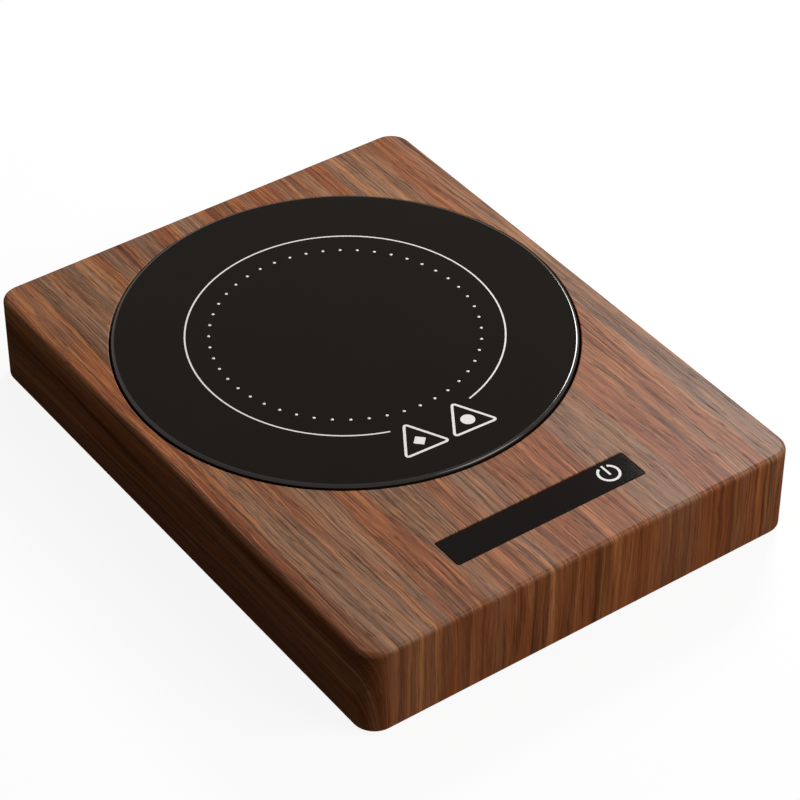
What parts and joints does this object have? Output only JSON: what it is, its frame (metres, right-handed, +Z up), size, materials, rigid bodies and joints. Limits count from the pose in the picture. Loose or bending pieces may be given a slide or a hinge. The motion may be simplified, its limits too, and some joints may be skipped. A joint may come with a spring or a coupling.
{
  "type": "mug warmer",
  "caption": "Flat rectangular desktop mug warmer with a wood-look housing, a round floating glass heating plate that presses a sensing switch, and a touch strip.",
  "frame": {"origin": "on the surface that the feet stand on, under the middle of the housing", "axes": "+X to the right along the front edge, +Y from the front edge with the touch strip to the back, +Z up"},
  "size_m": [0.13, 0.17, 0.0269],
  "materials": {
    "walnut_look": "satin wood-grain film over a moulded shell",
    "black_glass": "polished, black layer behind, white print on top",
    "strip_black": "satin black with a white power symbol",
    "cover_black": "fine moulded texture",
    "screw_steel": "zinc plated",
    "foot_rubber": "matt",
    "silicone": "satin",
    "spreader_aluminium": "rolled",
    "heater_foil": "amber film over etched foil",
    "fibre_pad": "felted fibre",
    "carrier_plastic": "glass-filled moulding",
    "spring_steel": "bright drawn",
    "sensor_sleeve": "satin",
    "fuse_case": "plated",
    "switch_plastic": "satin",
    "plunger_plastic": "satin",
    "contact_brass": "plated",
    "led_lens": "clear gloss",
    "chip_black": "matt",
    "board_green": "solder mask",
    "socket_plastic": "satin",
    "capacitor_can": "sleeved can",
    "inductor_core": "sintered",
    "lead_black": "satin",
    "lead_white": "satin",
    "lead_red": "satin"
  },
  "bodies": {
    "base": {"top_housing": "walnut_look", "control_window": "strip_black", "bottom_cover": "cover_black", "cover_screws": "screw_steel", "rubber_feet": "foot_rubber", "micro_switch": "switch_plastic", "switch_terminals": "contact_brass", "switch_screws": "screw_steel", "display_frame": "cover_black", "indicator_leds": "led_lens", "touch_electrode": "spring_steel", "touch_chip": "chip_black", "display_board": "board_green", "display_screws": "screw_steel", "main_board": "board_green", "board_screws": "screw_steel", "link_header": "socket_plastic", "link_socket": "socket_plastic", "filter_capacitors": "capacitor_can", "power_inductor": "inductor_core", "power_transistor": "chip_black", "control_chip": "chip_black", "board_sockets": "socket_plastic", "inlet_body": "cover_black", "inlet_contacts": "contact_brass", "inlet_leads": "lead_black", "switch_leads": "lead_white"},
    "plate": {"glass_plate": "black_glass", "glass_gasket": "silicone", "spreader_plate": "spreader_aluminium", "heating_element": "heater_foil", "insulation_pad": "fibre_pad", "heat_reflector": "spreader_aluminium", "plate_carrier": "carrier_plastic", "plate_springs": "spring_steel", "thermistor": "sensor_sleeve", "thermal_fuse": "fuse_case", "sensor_clip": "spring_steel", "clip_screw": "screw_steel", "heater_leads": "lead_red", "sensor_leads": "lead_white"},
    "plunger": {"switch_plunger": "plunger_plastic"}
  },
  "joints": [
    {"name": "plate_press", "type": "slide", "parent": "base", "child": "plate", "axis": [0, 0, 1], "range_m": [-0.0007, 0], "stiffness_N_per_m": 600, "springref_m": 0.004, "deforming": ["plate_springs", "heater_leads", "sensor_leads"]},
    {"name": "plunger_press", "type": "slide", "parent": "base", "child": "plunger", "axis": [0, 0, 1], "range_m": [-0.0007, 0]}
  ],
  "couplings": [
    {"joint": "plunger_press", "follows": "plate_press", "ratio": 1}
  ]
}
